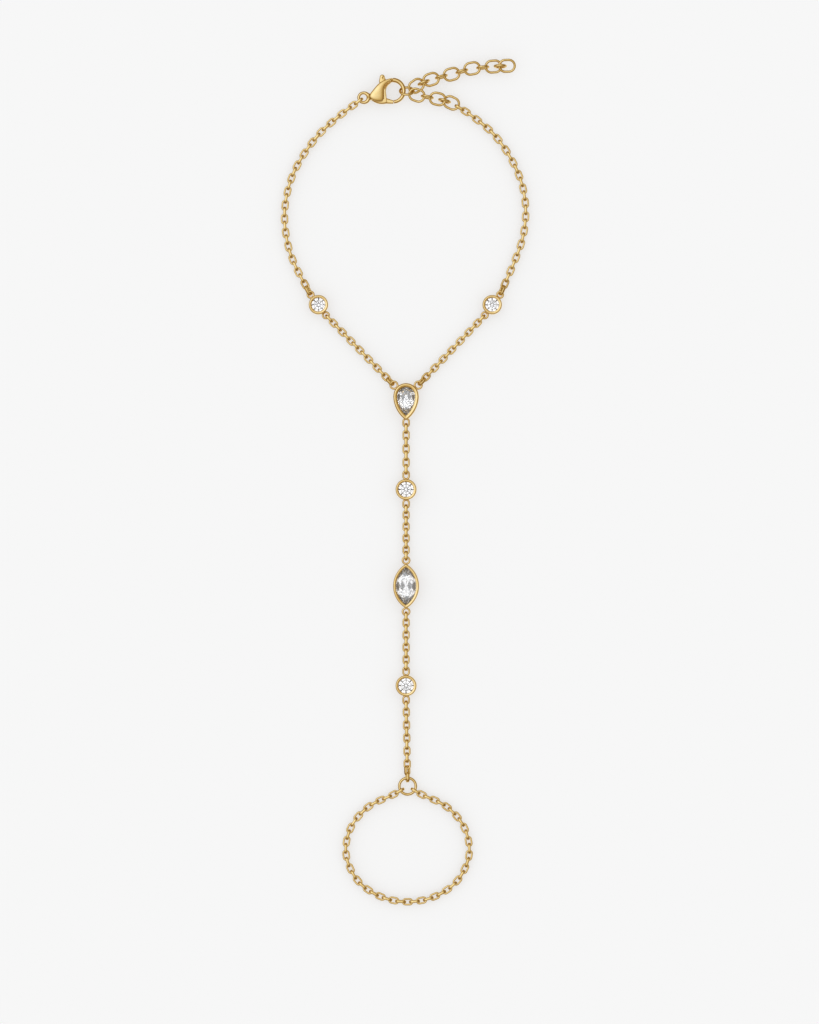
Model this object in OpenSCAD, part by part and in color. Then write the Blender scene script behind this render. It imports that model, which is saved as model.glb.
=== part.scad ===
// Hand chain bracelet, lying flat on the plane z = 0.
// A fine cable chain goes round the wrist and closes with a lobster clasp on an extender, a row of
// set stones runs down the back of the hand, and a chain loop goes round the finger.
// The origin is on that plane, below the centre of the pear's round end. +Y points to the wrist.

/* [Fine chain] */
// Outer width of a fine link
link_w = 1.5; // [1.5:0.02:1.7]
// Wire of a fine link, seen on its flat side
link_wire = 0.35; // [0.27:0.01:0.35]
// Depth of the flattened wire, across the link
link_depth = 0.46; // [0.36:0.02:0.48]
// Play between the ends of two links
link_play = 0.18; // [0.14:0.01:0.2]
// Play of a run's last link in the eyelet or ring that holds it
end_play = 0.26; // [0.22:0.01:0.3]
// Spacing of the links in the wrist arcs and the finger loop
loop_pitch = 1.38; // [1.3:0.01:1.5]
// Spacing of the links in the straight runs
strand_pitch = 1.3; // [1.2:0.01:1.4]

/* [Hand strand] */
// From the pear's round end down to the upper round setting
drop_1 = 18.7; // [16:0.1:26]
// From the upper round setting down to the marquise
drop_2 = 19.3; // [17:0.1:26]
// From the marquise down to the lower round setting
drop_3 = 19.9; // [17:0.1:26]
// From the lower round setting down to the junction ring
drop_4 = 20.1; // [14:0.1:28]

/* [Round settings] */
// Diameter of the two stones on the wrist
wrist_stone_d = 3; // [2.4:0.1:3.6]
// Diameter of the two stones on the hand
hand_stone_d = 3.3; // [2.4:0.1:4]
// Width of the rim, seen from above
round_rim = 0.58; // [0.45:0.01:0.8]
// Height of the round settings
round_h = 2.2; // [2.1:0.1:3]

/* [Pear setting] */
// Width of the pear stone
pear_w = 3.8; // [3:0.1:5]
// Length of the pear stone
pear_l = 5.7; // [5:0.1:7.5]
// Width of the pear's rim, seen from above
pear_rim = 0.77; // [0.5:0.01:0.9]

/* [Marquise setting] */
// Width of the marquise stone
marquise_w = 4.2; // [3.4:0.1:5]
// Length of the marquise stone
marquise_l = 7.8; // [6.6:0.1:9]
// Width of the marquise's rim, seen from above
marquise_rim = 0.6; // [0.5:0.01:0.9]

/* [Stones and their seats] */
// Height of the pear and marquise settings
shaped_h = 2.6; // [2.5:0.1:3.2]
// How far the rim covers a stone's edge
lip_cover = 0.14; // [0.08:0.01:0.2]
// Gap between a stone and its setting
stone_gap = 0.05; // [0.03:0.01:0.08]
// Width of the ledge below a stone's edge
seat_w = 0.3; // [0.2:0.01:0.4]
// Thickness of a stone's girdle
girdle_t = 0.08; // [0.04:0.01:0.12]
// Slope of the facets above the girdle, in degrees
crown_angle = 34; // [28:1:36]
// Slope of the facets below the girdle, in degrees
pavilion_angle = 40; // [36:1:42]
// Width of a round stone's table as a share of its diameter
table_share = 0.56; // [0.5:0.01:0.62]

/* [Eyelets] */
// Wire of the eyelets
eye_wire = 0.36; // [0.3:0.01:0.4]
// How far an eyelet is sunk into the rim that carries it
eye_sink = 0.2; // [0.15:0.01:0.25]
// Outer width of the eyelets on the wrist settings
wrist_eye_w = 1.64; // [1.6:0.01:2]
// Outer width of the two upper eyelets on the pear
pear_eye_w = 1.85; // [1.6:0.01:2.2]
// Outer width of the eyelets on the marquise
marquise_eye_w = 1.77; // [1.6:0.01:2.2]
// Outer width of the oval eyelets
oval_eye_w = 1.55; // [1.5:0.01:1.8]
// Outer length of the oval eyelets
oval_eye_l = 2; // [1.8:0.01:2.4]
// Angle of the pear's upper eyelets above the horizontal, in degrees
pear_eye_angle = 41.5; // [30:0.5:60]

/* [Junction ring] */
// Outer diameter of the junction ring
ring_d = 3.85; // [3.4:0.05:5]
// Wire of the junction ring
ring_wire = 0.56; // [0.4:0.02:0.58]

/* [Clasp] */
// Radius of the claw, to the middle of its wire
claw_r = 2.1; // [2.05:0.05:2.3]
// Wire of the claw
claw_wire = 0.7; // [0.5:0.02:0.74]
// Thickness of the lever
lever_t = 0.6; // [0.5:0.02:0.64]
// Diameter of the lever's gate, which closes the claw
gate_d = 0.74; // [0.6:0.02:0.76]
// Gap on each side of the lever
lever_gap = 0.09; // [0.06:0.01:0.14]
// Width of the lever's arm
arm_w = 0.6; // [0.4:0.05:0.7]
// Radius of the lever's hub
hub_r = 0.5; // [0.42:0.02:0.56]
// Width of the thumb knob
knob_w = 1.14; // [0.8:0.02:1.3]
// From the pivot to the tip of the thumb knob
knob_reach = 5.15; // [4.8:0.05:5.6]
// Diameter of the pivot pin
pin_d = 0.5; // [0.3:0.02:0.5]
// Length of the pivot pin
pin_l = 1.7; // [1.2:0.05:1.7]
// Gap round the pivot pin
pin_gap = 0.05; // [0.03:0.01:0.07]
// Outer diameter of the tail ring
tail_d = 2.46; // [2.3:0.02:2.8]
// Wire of the tail ring
tail_wire = 0.5; // [0.4:0.02:0.54]
// How far the gate swings open, in degrees
gate_swing = 25; // [15:1:28]

/* [Extender] */
// Outer length of the extender's oval links
oval_l = 3.6; // [3.5:0.02:3.8]
// Outer width of the extender's oval links
oval_w = 2.85; // [2.7:0.02:3]
// Outer length of the turned links between them
turned_l = 2.7; // [2.6:0.02:2.9]
// Outer width of the turned links
turned_w = 2.3; // [2.2:0.02:2.5]
// Wire of the extender's links
extender_wire = 0.42; // [0.3:0.02:0.46]
// Outer length of the link that hangs in the claw
claw_link_l = 3.2; // [3.2:0.02:3.5]

/* [Hidden] */
$fn = 48;
GOLD = [0.86, 0.68, 0.33];
STONE = [0.9, 0.93, 0.97, 0.6];

// The chains' routes as they lie: a few chosen points each, between the ends that the settings give.
WRIST_LEFT = [[-12.9, 56.3], [-16.9, 52.8], [-20.3, 48.5], [-22.9, 43.5], [-24.2, 37.8],
              [-24, 32.2], [-22.5, 26.8]];
WRIST_RIGHT = [[13.1, 56], [17.5, 52.3], [20.8, 47.7], [23.1, 42.5], [23.9, 37.2],
               [23.4, 32], [21.8, 27.2]];
// Half of the finger loop, from the junction ring's centre down to the far end of the loop.
FINGER_HALF = [[-2.9, -1.7], [-7.8, -4.1], [-11.3, -8.2], [-12.3, -13.6], [-10, -18.8], [-5.5, -22]];
FINGER_END = [0, -23.1];
// The extender's oval links: x, y and height of each centre, from the clasp outwards.
OVALS_UPPER = [[2.05, 61.95, 1], [5, 63.2, 1.55], [9.1, 64.25, 1.2], [13.2, 65.4, 1.3],
               [17.45, 65.8, 1.1], [20.15, 65.9, 1.65]];
OVALS_LOWER = [[2.15, 60.05, 1.55], [6.3, 59.3, 1.5], [9.05, 58.55, 0.95]];
// The link that hangs in the claw, and how far the links are turned about their long axes.
CLAW_LINK = [0.15, 60.9, 1.3];
CLAW_LINK_ROLL = -49;
OVAL_ROLL = 10;
TURNED_ROLL = 82;
// Where the clasp and the wrist settings lie.
CLASP_POS = [-2.56, 60.9, 1.3];
BEZEL_LEFT = [-17.5, 18.2];
BEZEL_RIGHT = [17.2, 18.2];
// Directions of a wrist setting's two eyelets on the left side, mirrored on the right.
EYE_ANGLE_UP = 128;
EYE_ANGLE_DOWN = -54.6;
// Sideways offset of the junction ring from the hand strand.
RING_X = 0.3;
// Height of the fine chain's middle: a link clears the surface however it is turned.
chain_z = norm([link_w, link_depth]) / 2 + 0.02;

// Positions along the hand strand.
upper_y = -drop_1;
marquise_y = upper_y - drop_2;
lower_y = marquise_y - drop_3;
ring_y = lower_y - drop_4;
RING_POS = [RING_X, ring_y];

// Outline of a pear or marquise: a half width, and the radius of the side arcs that reach the tip.
function arc_radius(half_w, tip) = (half_w * half_w + tip * tip) / (2 * half_w);
function tip_reach(half_w, radius) = sqrt(radius * radius - (radius - half_w) * (radius - half_w));

// From a stone's edge out to the rim's outer edge.
function rim_out(rim) = rim - lip_cover;
round_out_wrist = wrist_stone_d / 2 + rim_out(round_rim);
round_out_hand = hand_stone_d / 2 + rim_out(round_rim);
pear_side = arc_radius(pear_w / 2, pear_l - pear_w / 2);
pear_out = pear_w / 2 + rim_out(pear_rim);
pear_tip = tip_reach(pear_out, pear_side + rim_out(pear_rim));
marquise_side = arc_radius(marquise_w / 2, marquise_l / 2);
marquise_out = marquise_w / 2 + rim_out(marquise_rim);
marquise_tip = tip_reach(marquise_out, marquise_side + rim_out(marquise_rim));

// Top of a stone's girdle below a lip of the given rim width.
function girdle_top(h, rim) = h - rim - stone_gap;
// Lowest point of a stone, which stays above the surface.
function keel_z(top, half_w) = max(0.1, top - girdle_t - half_w * tan(pavilion_angle));

// Distance of an eyelet's centre from the point it is measured from, past a rim at that distance.
function eye_reach(rim_dist, eye_l) = rim_dist + eye_l / 2 - eye_sink;
function polar(r, a) = [r * cos(a), r * sin(a)];
function mirror_x(p) = [-p[0], p[1]];
wrist_eye_up = polar(eye_reach(round_out_wrist, wrist_eye_w), EYE_ANGLE_UP);
wrist_eye_down = polar(eye_reach(round_out_wrist, wrist_eye_w), EYE_ANGLE_DOWN);
pear_eye = polar(eye_reach(pear_out, pear_eye_w), pear_eye_angle);
pear_eye_drop = eye_reach(pear_tip, oval_eye_l);
hand_eye_drop = eye_reach(round_out_hand, oval_eye_l);
marquise_eye_drop = eye_reach(marquise_tip, marquise_eye_w);

// The hole that a link hangs in, from an eyelet's centre to its wire.
function hole_of(eye_l) = eye_l / 2 - eye_wire;
ring_hole = ring_d / 2 - ring_wire;
tail_hole = tail_d / 2 - tail_wire;
oval_hole = oval_l / 2 - extender_wire;

// Clasp, in its own plane: the origin is the claw's centre, +X points away from the tail.
TAIL = [-5.93, -1.34];
PIVOT = [-2.11, -1.75];
SEAM_ANGLE = -86.5;
CLAW_START = 125;
gate_end = [0, -claw_r];
gate_arm = gate_end - PIVOT;
gate_angle = atan2(gate_arm[1], gate_arm[0]);
gate_half = gate_d / 2 + lever_gap;
arm_angle = 91;
slot_half = lever_t / 2 + lever_gap;
// The thumb knob begins this far from the pivot.
knob_start = knob_reach - 1.3 * knob_w;
// The body's rounded form: x, y and radius of the balls that it wraps round.
BODY_BALLS = [[-4.5, -0.97, 0.38], [-3.9, -0.75, 0.75], [-3.2, -0.35, 1.1], [-2.7, -1.15, 1.28],
              [-2.4, -1.4, 1.2], [-2.2, 0.9, 1], [-1.35, 1.8, 0.58], [-0.7, 2.05, 0.44]];
// The body's straight right side, below the hole's middle.
BODY_RIGHT = -1.55;
HOLE_POS = [0.22, 0];
HOLE_R = 1.68;

// Smooth route through points, and a place at a given length along it.
ROUTE_STEPS = 8;
function spline(a, b, c, d, t) =
    0.5 * (2 * b + (c - a) * t + (2 * a - 5 * b + 4 * c - d) * t * t + (3 * b - a - 3 * c + d) * t * t * t);
function route(pts) = let (n = len(pts))
    [for (i = [0 : n - 2], k = [0 : ROUTE_STEPS - 1])
        spline(pts[max(i - 1, 0)], pts[i], pts[i + 1], pts[min(i + 2, n - 1)], k / ROUTE_STEPS),
     pts[n - 1]];
function run_lengths(path) =
    [for (i = 0, s = 0; i < len(path); s = s + norm(path[min(i + 1, len(path) - 1)] - path[i]), i = i + 1) s];
function along(path, lengths, s) =
    let (last = len(path) - 2, i = max([0, for (k = [0 : last]) if (lengths[k] <= s) k]))
    path[i] + (path[i + 1] - path[i]) * (s - lengths[i]) / (lengths[i + 1] - lengths[i]);
function flat_points(pts, z) = [for (p = pts) [p[0], p[1], z]];

// Puts a link at p with its long axis along d, turned about that axis.
module aim(p, d, roll = 0)
    translate(p)
        rotate([0, -asin(d[2] / norm(d)), atan2(d[1], d[0])])
            rotate([roll, 0, 0]) children();

// Oval ring of round wire with its long axis along X.
module oval_ring(l, w, wire) {
    r = (w - wire) / 2;
    straight = l - w;
    if (straight > 0) for (s = [-1, 1]) {
        translate([s * straight / 2, 0, 0])
            rotate([0, 0, -s * 90]) rotate_extrude(angle = 180) translate([r, 0]) circle(d = wire);
        translate([-straight / 2, s * r, 0])
            rotate([90, 0, 90]) linear_extrude(straight) circle(d = wire);
    } else rotate_extrude() translate([r, 0]) circle(d = wire);
}

// Fine link of flattened wire, with its long axis along X. The hole's ends are flat where the next
// link's wire bears on them.
module fine_link(l) {
    hole_l = l - 2 * link_wire;
    hole_w = link_w - 2 * link_wire;
    flat_w = link_depth + 0.14;
    flat = (hole_w - sqrt(hole_w * hole_w - flat_w * flat_w)) / 2;
    linear_extrude(link_depth, center = true) difference() {
        oval(l, link_w);
        intersection() {
            oval(hole_l + 2 * flat, hole_w);
            square([hole_l, hole_w], center = true);
        }
    }
}
module oval(l, w) {
    square([l - w, w], center = true);
    for (s = [-1, 1]) translate([s * (l - w) / 2, 0]) circle(d = w);
}

// Fine chain along a path between two holes. Standing and lying links take turns, beginning with a
// standing one, and the count follows from the length and the nominal spacing. The last few links
// twist the chain on its way into its far end.
module fine_chain(path, hole_a, hole_b, nominal, even = false, twist = 0, twist_links = 1) {
    lengths = run_lengths(path);
    total = lengths[len(lengths) - 1];
    room = total - hole_a - hole_b + 2 * end_play - link_play;
    n = even ? 2 * round(room / nominal / 2) : 2 * round((room / nominal - 1) / 2) + 1;
    pitch = room / n;
    inner_half = (pitch + link_play) / 2;
    first = hole_a - end_play + inner_half;
    for (i = [0 : n - 1]) {
        s = first + i * pitch;
        a = along(path, lengths, s - pitch / 2);
        b = along(path, lengths, s + pitch / 2);
        turn = twist * max(0, 1 - (n - 1 - i) / twist_links);
        aim(along(path, lengths, s), b - a, 90 * ((i + 1) % 2) + turn)
            fine_link(2 * inner_half + 2 * link_wire);
    }
}

// Section of a setting's wall, from the middle of its arcs out: a wall round the stone's edge, a
// ledge below it and a rounded lip that covers it.
module rim_section(r_out, rim, h) {
    lip_r = rim / 2;
    edge_r = r_out - rim_out(rim);
    ledge_top = girdle_top(h, rim) - girdle_t - seat_w * tan(pavilion_angle) - stone_gap;
    translate([edge_r + stone_gap, 0]) square([r_out - edge_r - stone_gap, h - lip_r]);
    translate([edge_r - seat_w, 0]) square([seat_w + 2 * stone_gap, ledge_top]);
    translate([r_out - lip_r, h - lip_r]) circle(lip_r);
}

module round_setting(stone_d, eyes, eye_l, eye_w) {
    r_out = stone_d / 2 + rim_out(round_rim);
    rotate_extrude() rim_section(r_out, round_rim, round_h);
    for (a = eyes) eyelet(polar(eye_reach(r_out, eye_l), a), a, eye_l, eye_w);
}

module eyelet(p, angle, l, w)
    translate([p[0], p[1], chain_z]) rotate([0, 0, angle]) oval_ring(l, w, eye_wire);

// One side of a pointed setting, right of the middle line: an arc round (-offset, 0) down to the tip.
module side_wall(r_side, offset, rim, h, from, to)
    intersection() {
        translate([-offset, 0, 0])
            rotate([0, 0, from]) rotate_extrude(angle = to - from) rim_section(r_side, rim, h);
        translate([0, -2 * r_side, -1]) cube([r_side, 4 * r_side, h + 2]);
    }

// A faceted stone wraps round its girdle, its table and its keel.
module stone(girdle, table, keel, table_z, girdle_z, low_z)
    hull() {
        translate([0, 0, girdle_z - girdle_t]) linear_extrude(girdle_t) polygon(girdle);
        translate([0, 0, table_z - 0.01]) linear_extrude(0.01) polygon(table);
        for (p = keel) translate([p[0], p[1], low_z]) cube(0.02, center = true);
    }

function round_points(r, n, turn = 0) = [for (i = [0 : n - 1]) polar(r, turn + 360 * i / n)];
// Points round a pear, with its round end up, and round a marquise, both at half width w.
function side_points(w, radius, n, turn_from, turn_to) =
    [for (i = [0 : n - 1]) let (a = turn_from + (turn_to - turn_from) * i / (n - 1))
        polar(radius, a) - [radius - w, 0]];
function tip_angle(w, radius) = acos((radius - w) / radius);
function pear_points(w, radius) = let (t = tip_angle(w, radius), right = side_points(w, radius, 6, -t, 0))
    concat(right, [for (i = [1 : 7]) polar(w, 180 * i / 8)],
           [for (i = [5 : -1 : 1]) mirror_x(right[i])]);
function marquise_points(w, radius) = let (t = tip_angle(w, radius), right = side_points(w, radius, 9, -t, t))
    concat(right, [for (i = [7 : -1 : 1]) mirror_x(right[i])]);

module round_stone(d) {
    top = girdle_top(round_h, round_rim);
    crown = d / 2 * (1 - table_share) * tan(crown_angle);
    color(STONE)
        stone(round_points(d / 2, 16), round_points(d / 2 * table_share, 8, 22.5), [[0, 0]],
              top + crown, top, keel_z(top, d / 2));
}

// A pear or marquise table lies this far inside the girdle.
function table_inset(w) = w / 2 * (1 - table_share);

module pear_stone() {
    w = pear_w / 2;
    in = table_inset(pear_w);
    top = girdle_top(shaped_h, pear_rim);
    color(STONE)
        stone(pear_points(w, pear_side), pear_points(w - in, pear_side - in),
              [[0, 0], [0, -(pear_l - w) + w]],
              top + in * tan(crown_angle), top, keel_z(top, w));
}

module marquise_stone() {
    w = marquise_w / 2;
    in = table_inset(marquise_w);
    top = girdle_top(shaped_h, marquise_rim);
    color(STONE) translate([0, marquise_y, 0])
        stone(marquise_points(w, marquise_side), marquise_points(w - in, marquise_side - in),
              [[0, marquise_l / 2 - w], [0, w - marquise_l / 2]],
              top + in * tan(crown_angle), top, keel_z(top, w));
}

module pear_setting() {
    r_side = pear_side + rim_out(pear_rim);
    offset = r_side - pear_out;
    color(GOLD) {
        rotate_extrude(angle = 180) rim_section(pear_out, pear_rim, shaped_h);
        for (s = [0, 1]) mirror([s, 0, 0]) side_wall(r_side, offset, pear_rim, shaped_h, -90, 0);
        for (a = [pear_eye_angle, 180 - pear_eye_angle])
            eyelet(polar(norm(pear_eye), a), a, pear_eye_w, pear_eye_w);
        eyelet([0, -pear_eye_drop], -90, oval_eye_l, oval_eye_w);
    }
}

module marquise_setting() {
    r_side = marquise_side + rim_out(marquise_rim);
    offset = r_side - marquise_out;
    color(GOLD) translate([0, marquise_y, 0]) {
        for (s = [0, 1]) mirror([s, 0, 0]) side_wall(r_side, offset, marquise_rim, shaped_h, -90, 90);
        for (s = [-1, 1]) eyelet([0, s * marquise_eye_drop], s * 90, marquise_eye_w, marquise_eye_w);
    }
}

module wrist_bezel_left()
    color(GOLD) translate(BEZEL_LEFT)
        round_setting(wrist_stone_d, [EYE_ANGLE_UP, EYE_ANGLE_DOWN], wrist_eye_w, wrist_eye_w);

module wrist_bezel_right()
    color(GOLD) translate(BEZEL_RIGHT)
        round_setting(wrist_stone_d, [180 - EYE_ANGLE_UP, 180 - EYE_ANGLE_DOWN], wrist_eye_w, wrist_eye_w);

module wrist_stone_left() translate(BEZEL_LEFT) round_stone(wrist_stone_d);
module wrist_stone_right() translate(BEZEL_RIGHT) round_stone(wrist_stone_d);

module hand_bezel(y)
    color(GOLD) translate([0, y, 0]) round_setting(hand_stone_d, [90, -90], oval_eye_l, oval_eye_w);
module hand_bezel_upper() hand_bezel(upper_y);
module hand_bezel_lower() hand_bezel(lower_y);
module hand_stone_upper() translate([0, upper_y, 0]) round_stone(hand_stone_d);
module hand_stone_lower() translate([0, lower_y, 0]) round_stone(hand_stone_d);

module junction_ring()
    color(GOLD) translate([RING_POS[0], RING_POS[1], chain_z])
        rotate_extrude() translate([(ring_d - ring_wire) / 2, 0]) circle(d = ring_wire);

// The wrist chain's upper runs come down from the clasp or the extender to the surface's height.
function place_in(p, pos) = [pos[0] + p[0], pos[1] + p[1]];
tail_pos = [CLASP_POS[0] + TAIL[0], CLASP_POS[1] + TAIL[1], CLASP_POS[2]];
function wrist_route(start, pts, eye) =
    let (to_first = [pts[0][0] - start[0], pts[0][1] - start[1], 0])
    route(concat([start, start + 0.3 * to_first], flat_points(pts, chain_z), [[eye[0], eye[1], chain_z]]));

module wrist_chain_left_upper()
    color(GOLD) fine_chain(wrist_route(tail_pos, WRIST_LEFT, place_in(wrist_eye_up, BEZEL_LEFT)),
                           tail_hole, hole_of(wrist_eye_w), loop_pitch, twist = 30, twist_links = 6);

module wrist_chain_right_upper()
    color(GOLD) fine_chain(wrist_route(OVALS_LOWER[len(OVALS_LOWER) - 1], WRIST_RIGHT,
                                       place_in(mirror_x(wrist_eye_up), BEZEL_RIGHT)),
                           oval_hole, hole_of(wrist_eye_w), loop_pitch, twist = -30, twist_links = 6);

function straight_route(a, b) = [[a[0], a[1], chain_z], [b[0], b[1], chain_z]];

module wrist_chain_left_lower()
    color(GOLD) fine_chain(straight_route(place_in(wrist_eye_down, BEZEL_LEFT), mirror_x(pear_eye)),
                           hole_of(wrist_eye_w), hole_of(pear_eye_w), strand_pitch,
                           twist = 30, twist_links = 6);

module wrist_chain_right_lower()
    color(GOLD) fine_chain(straight_route(place_in(mirror_x(wrist_eye_down), BEZEL_RIGHT), pear_eye),
                           hole_of(wrist_eye_w), hole_of(pear_eye_w), strand_pitch,
                           twist = -30, twist_links = 6);

// One run of the hand strand, between the eyelets at two heights.
module hand_chain(y_top, y_bottom, eye_top, eye_bottom)
    color(GOLD) fine_chain(straight_route([0, y_top], [0, y_bottom]),
                           hole_of(eye_top), hole_of(eye_bottom), strand_pitch);

module hand_chain_1() hand_chain(-pear_eye_drop, upper_y + hand_eye_drop, oval_eye_l, oval_eye_l);
module hand_chain_2()
    hand_chain(upper_y - hand_eye_drop, marquise_y + marquise_eye_drop, oval_eye_l, marquise_eye_w);
module hand_chain_3()
    hand_chain(marquise_y - marquise_eye_drop, lower_y + hand_eye_drop, marquise_eye_w, oval_eye_l);
module hand_chain_4()
    color(GOLD) fine_chain(straight_route([0, lower_y - hand_eye_drop], RING_POS),
                           hole_of(oval_eye_l), ring_hole, strand_pitch, even = true,
                           twist = 75, twist_links = 8);

finger_points = concat([[0, 0]], FINGER_HALF, [FINGER_END],
                       [for (i = [len(FINGER_HALF) - 1 : -1 : 0]) mirror_x(FINGER_HALF[i])], [[0, 0]]);
module finger_chain()
    color(GOLD) fine_chain(route([for (p = finger_points) [RING_POS[0] + p[0], RING_POS[1] + p[1], chain_z]]),
                           ring_hole, ring_hole, loop_pitch);

// Rows of oval links with a turned link between each two.
module ovals(points, before, after)
    for (i = [0 : len(points) - 1]) {
        a = i == 0 ? before : points[i - 1];
        b = i == len(points) - 1 ? after : points[i + 1];
        level = [b[0] - a[0], b[1] - a[1], 0];
        aim(points[i], level, OVAL_ROLL) oval_ring(oval_l, oval_w, extender_wire);
        if (i < len(points) - 1)
            aim((points[i] + b) / 2, b - points[i], TURNED_ROLL)
                oval_ring(turned_l, turned_w, extender_wire);
    }

claw_link_end = CLAW_LINK + [claw_link_l / 2, 0, 0];
module extender_upper()
    color(GOLD) {
        aim(CLAW_LINK, [1, 0, 0], CLAW_LINK_ROLL) oval_ring(claw_link_l, oval_w, extender_wire);
        ovals(OVALS_UPPER, claw_link_end, OVALS_UPPER[len(OVALS_UPPER) - 1] + [1, 0, 0]);
    }
module extender_lower()
    color(GOLD) ovals(OVALS_LOWER, claw_link_end, [WRIST_RIGHT[0][0], WRIST_RIGHT[0][1], chain_z]);

// The slot that the lever moves in, from its closed to its open place.
module lever_slot() {
    reach = knob_reach + 1;
    half = arm_w / 2 + lever_gap;
    knob_half = knob_w / 2 + lever_gap;
    knob_from = knob_start - lever_gap;
    translate([PIVOT[0], PIVOT[1], -slot_half]) {
        cylinder(r = hub_r + lever_gap, h = 2 * slot_half);
        rotate([0, 0, arm_angle]) rotate_extrude(angle = gate_swing) square([reach, 2 * slot_half]);
        for (a = [0, gate_swing]) rotate([0, 0, arm_angle + a]) {
            translate([0, -half, 0]) cube([reach, 2 * half, 2 * slot_half]);
            translate([knob_from, -knob_half, 0]) cube([reach, 2 * knob_half, 2 * slot_half]);
        }
    }
    translate([PIVOT[0], PIVOT[1], -gate_half]) {
        rotate([0, 0, gate_angle]) rotate_extrude(angle = gate_swing) square([claw_r, 2 * gate_half]);
        for (a = [0, gate_swing]) rotate([0, 0, gate_angle + a])
            translate([0, -gate_half, 0]) cube([claw_r, 2 * gate_half, 2 * gate_half]);
    }
}

module clasp_body()
    color(GOLD) translate(CLASP_POS) {
        difference() {
            hull() for (b = BODY_BALLS) translate([b[0], b[1], 0]) sphere(r = b[2], $fn = 28);
            translate([HOLE_POS[0], HOLE_POS[1], -2]) cylinder(r = HOLE_R, h = 4);
            translate([BODY_RIGHT, HOLE_POS[1] - 4, -2]) cube([4, 4, 4]);
            lever_slot();
            translate([PIVOT[0], PIVOT[1], -pin_l / 2 - pin_gap])
                cylinder(d = pin_d + 2 * pin_gap, h = pin_l + 2 * pin_gap);
        }
        rotate([0, 0, SEAM_ANGLE]) rotate_extrude(angle = CLAW_START - SEAM_ANGLE)
            translate([claw_r, 0]) circle(d = claw_wire);
        translate([TAIL[0], TAIL[1], 0])
            rotate_extrude() translate([(tail_d - tail_wire) / 2, 0]) circle(d = tail_wire);
    }

module clasp_lever()
    color(GOLD) translate([CLASP_POS[0] + PIVOT[0], CLASP_POS[1] + PIVOT[1], CLASP_POS[2]])
        difference() {
            union() {
                translate([0, 0, -lever_t / 2]) {
                    cylinder(r = hub_r, h = lever_t);
                    rotate([0, 0, arm_angle]) {
                        translate([0, -arm_w / 2, 0]) cube([knob_reach - knob_w / 2, arm_w, lever_t]);
                        translate([knob_start, -knob_w / 2, 0])
                            cube([knob_reach - knob_w / 2 - knob_start, knob_w, lever_t]);
                        translate([knob_reach - knob_w / 2, 0, 0]) cylinder(d = knob_w, h = lever_t);
                    }
                }
                rotate([0, 0, gate_angle]) rotate([0, 90, 0]) cylinder(d = gate_d, h = norm(gate_arm));
            }
            translate([0, 0, -lever_t]) cylinder(d = pin_d + 2 * pin_gap, h = 2 * lever_t);
        }

module clasp_pin()
    color(GOLD) translate([CLASP_POS[0] + PIVOT[0], CLASP_POS[1] + PIVOT[1], CLASP_POS[2] - pin_l / 2])
        cylinder(d = pin_d, h = pin_l);

clasp_body();
clasp_lever();
clasp_pin();
extender_upper();
extender_lower();
wrist_chain_left_upper();
wrist_chain_left_lower();
wrist_chain_right_upper();
wrist_chain_right_lower();
wrist_bezel_left();
wrist_bezel_right();
wrist_stone_left();
wrist_stone_right();
pear_setting();
pear_stone();
hand_chain_1();
hand_bezel_upper();
hand_stone_upper();
hand_chain_2();
marquise_setting();
marquise_stone();
hand_chain_3();
hand_bezel_lower();
hand_stone_lower();
hand_chain_4();
junction_ring();
finger_chain();
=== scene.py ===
import math

import bmesh
import bpy
import numpy as np
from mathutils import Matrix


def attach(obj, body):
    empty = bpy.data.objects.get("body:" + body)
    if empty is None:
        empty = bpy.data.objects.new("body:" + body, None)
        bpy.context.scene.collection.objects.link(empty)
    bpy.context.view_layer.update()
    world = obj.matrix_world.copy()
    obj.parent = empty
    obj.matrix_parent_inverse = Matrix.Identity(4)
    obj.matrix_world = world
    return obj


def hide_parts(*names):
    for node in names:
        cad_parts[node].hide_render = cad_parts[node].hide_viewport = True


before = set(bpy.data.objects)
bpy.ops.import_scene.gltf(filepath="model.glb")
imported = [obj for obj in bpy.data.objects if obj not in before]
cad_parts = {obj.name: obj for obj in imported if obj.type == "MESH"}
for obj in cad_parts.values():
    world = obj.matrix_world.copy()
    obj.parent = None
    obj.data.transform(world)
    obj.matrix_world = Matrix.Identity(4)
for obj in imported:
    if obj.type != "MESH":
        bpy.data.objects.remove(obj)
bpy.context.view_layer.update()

# All lengths below are in millimetres and are brought to metres where a mesh is made.
MM = 0.001

# Fine chain and extender. Their wire is a little fuller than the part's.
CHAINS = [
    "wrist_chain_left_upper", "wrist_chain_left_lower", "wrist_chain_right_upper",
    "wrist_chain_right_lower", "hand_chain_1", "hand_chain_2", "hand_chain_3", "hand_chain_4",
    "finger_chain",
]
EXTENDERS = ["extender_upper", "extender_lower"]
LINK_WIRE = 0.38
HAND_BREADTH, LOOP_BREADTH = 0.62, 0.54
EXTENDER_WIRE = 0.5
CHAIN_Z = 0.8044
# A wire's section: 2 is round, more is squarer
WIRE_ROUNDING, LINK_ROUNDING = 2.0, 3.2
# How much the fine links differ: tilt in degrees to each side, and the least share of the width
LINK_ROLL, LEAST_LINK_WIDTH = 2.5, 0.985
# A link stands on edge if its wide axis rises more than this; the twist of a strand's last links
EDGE_RISE, END_TWIST = 0.7, [0.5, 1.0]
SAME_POINT, LEAST_SIDE = 0.002, 1e-6

# Ring between the hand chain and the finger loop
RING_X, RING_Y, RING_D, RING_WIRE = 0.3, -78.0, 3.85, 0.56

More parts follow.
